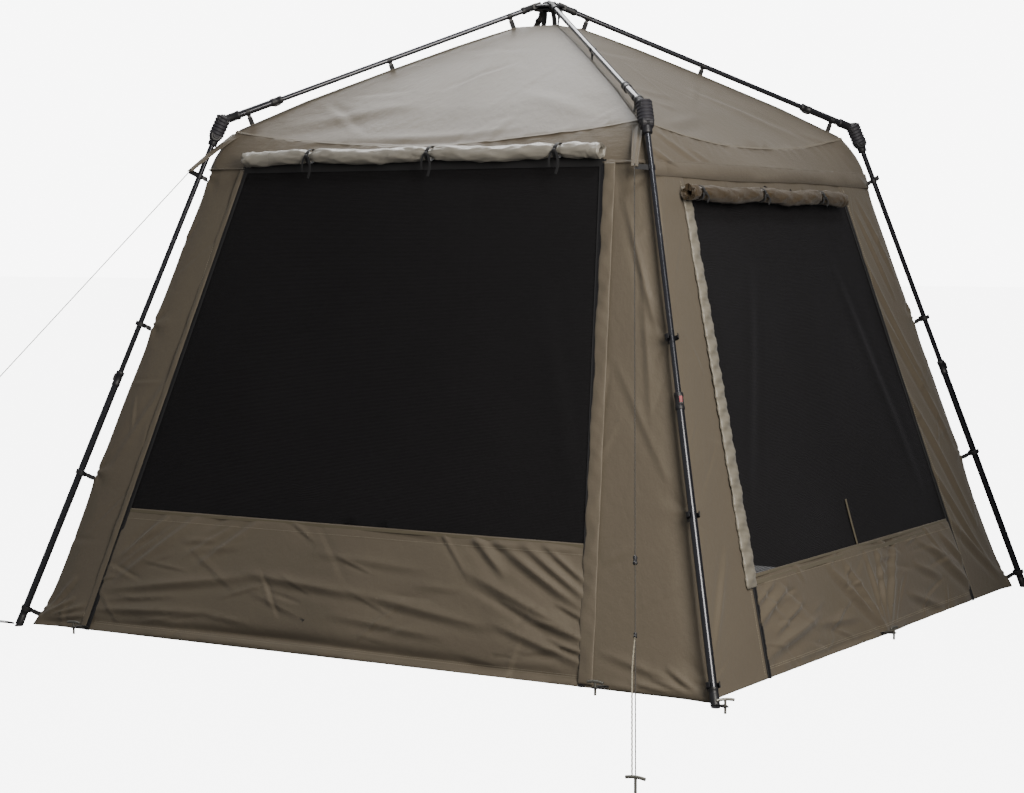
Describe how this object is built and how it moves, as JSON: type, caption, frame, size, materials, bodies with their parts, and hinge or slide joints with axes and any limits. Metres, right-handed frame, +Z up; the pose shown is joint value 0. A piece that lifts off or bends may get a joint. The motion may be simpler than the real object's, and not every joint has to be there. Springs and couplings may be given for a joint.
{
  "type": "fishing gazebo",
  "caption": "Square pop-up fishing gazebo: an outside frame of telescopic poles carries a hung fabric tent with a mesh door, mesh windows, rolled covers and front guy lines.",
  "frame": {"origin": "on the ground, in the middle of the rectangle that the pitched gazebo fills with its front guy lines and pegs", "axes": "+Z up; +X along the door wall, to the right when it is seen from outside; +Y from the door wall towards the back wall"},
  "size_m": [3.363, 3.848, 2.228],
  "materials": {
    "pole_tube": "dark grey coated steel tube, satin, scuffed",
    "black_nylon": "moulded glass-filled nylon, satin",
    "roof_cloth": "coated polyester, pale olive, soft sheen",
    "wall_cloth": "coated polyester, olive, creased",
    "cover_cloth": "coated polyester, rolled up, glossy folds",
    "insect_mesh": "fine black knitted insect mesh",
    "guy_cord": "braided pale cord",
    "peg_steel": "galvanised steel wire"
  },
  "bodies": {
    "gazebo": {"hub": "black_nylon", "roof_peak": "roof_cloth", "roof_pole_inner_front_right": "pole_tube", "roof_pole_outer_front_right": "pole_tube", "knuckle_front_right": "black_nylon", "leg_upper_front_right": "pole_tube", "wall_corner_front_right": "wall_cloth", "foot_peg_front_right": "peg_steel", "roof_pole_inner_back_right": "pole_tube", "roof_pole_outer_back_right": "pole_tube", "knuckle_back_right": "black_nylon", "leg_upper_back_right": "pole_tube", "wall_corner_back_right": "wall_cloth", "foot_peg_back_right": "peg_steel", "roof_pole_inner_back_left": "pole_tube", "roof_pole_outer_back_left": "pole_tube", "knuckle_back_left": "black_nylon", "leg_upper_back_left": "pole_tube", "wall_corner_back_left": "wall_cloth", "foot_peg_back_left": "peg_steel", "roof_pole_inner_front_left": "pole_tube", "roof_pole_outer_front_left": "pole_tube", "knuckle_front_left": "black_nylon", "leg_upper_front_left": "pole_tube", "wall_corner_front_left": "wall_cloth", "foot_peg_front_left": "peg_steel", "roof_front": "roof_cloth", "eave_band_front": "wall_cloth", "lower_panel_front": "wall_cloth", "mesh_front": "insect_mesh", "roof_right": "roof_cloth", "eave_band_right": "wall_cloth", "lower_panel_right": "wall_cloth", "mesh_right": "insect_mesh", "roof_back": "roof_cloth", "eave_band_back": "wall_cloth", "lower_panel_back": "wall_cloth", "mesh_back": "insect_mesh", "roof_left": "roof_cloth", "eave_band_left": "wall_cloth", "lower_panel_left": "wall_cloth", "mesh_left": "insect_mesh", "window_cover_back": "wall_cloth", "window_cover_left": "wall_cloth", "rolled_cover_front": "cover_cloth", "rolled_cover_right": "cover_cloth", "guy_front_left": "guy_cord", "guy_peg_front_left": "peg_steel", "guy_front_right": "guy_cord", "guy_peg_front_right": "peg_steel", "hem_peg_door_left": "peg_steel", "hem_peg_door_right": "peg_steel", "hem_peg_right_wall": "peg_steel"},
    "telescopic_leg_front_right": {"leg_lower_front_right": "pole_tube"},
    "telescopic_leg_back_right": {"leg_lower_back_right": "pole_tube"},
    "telescopic_leg_back_left": {"leg_lower_back_left": "pole_tube"},
    "telescopic_leg_front_left": {"leg_lower_front_left": "pole_tube"}
  },
  "joints": [
    {"name": "leg_slide_front_right", "type": "slide", "parent": "gazebo", "child": "telescopic_leg_front_right", "axis": [-0.2685, 0.2685, 0.9251], "range_m": [0, 0.7]},
    {"name": "leg_slide_back_right", "type": "slide", "parent": "gazebo", "child": "telescopic_leg_back_right", "axis": [-0.2685, -0.2685, 0.9251], "range_m": [0, 0.7]},
    {"name": "leg_slide_back_left", "type": "slide", "parent": "gazebo", "child": "telescopic_leg_back_left", "axis": [0.2685, -0.2685, 0.9251], "range_m": [0, 0.7]},
    {"name": "leg_slide_front_left", "type": "slide", "parent": "gazebo", "child": "telescopic_leg_front_left", "axis": [0.2685, 0.2685, 0.9251], "range_m": [0, 0.7]}
  ]
}
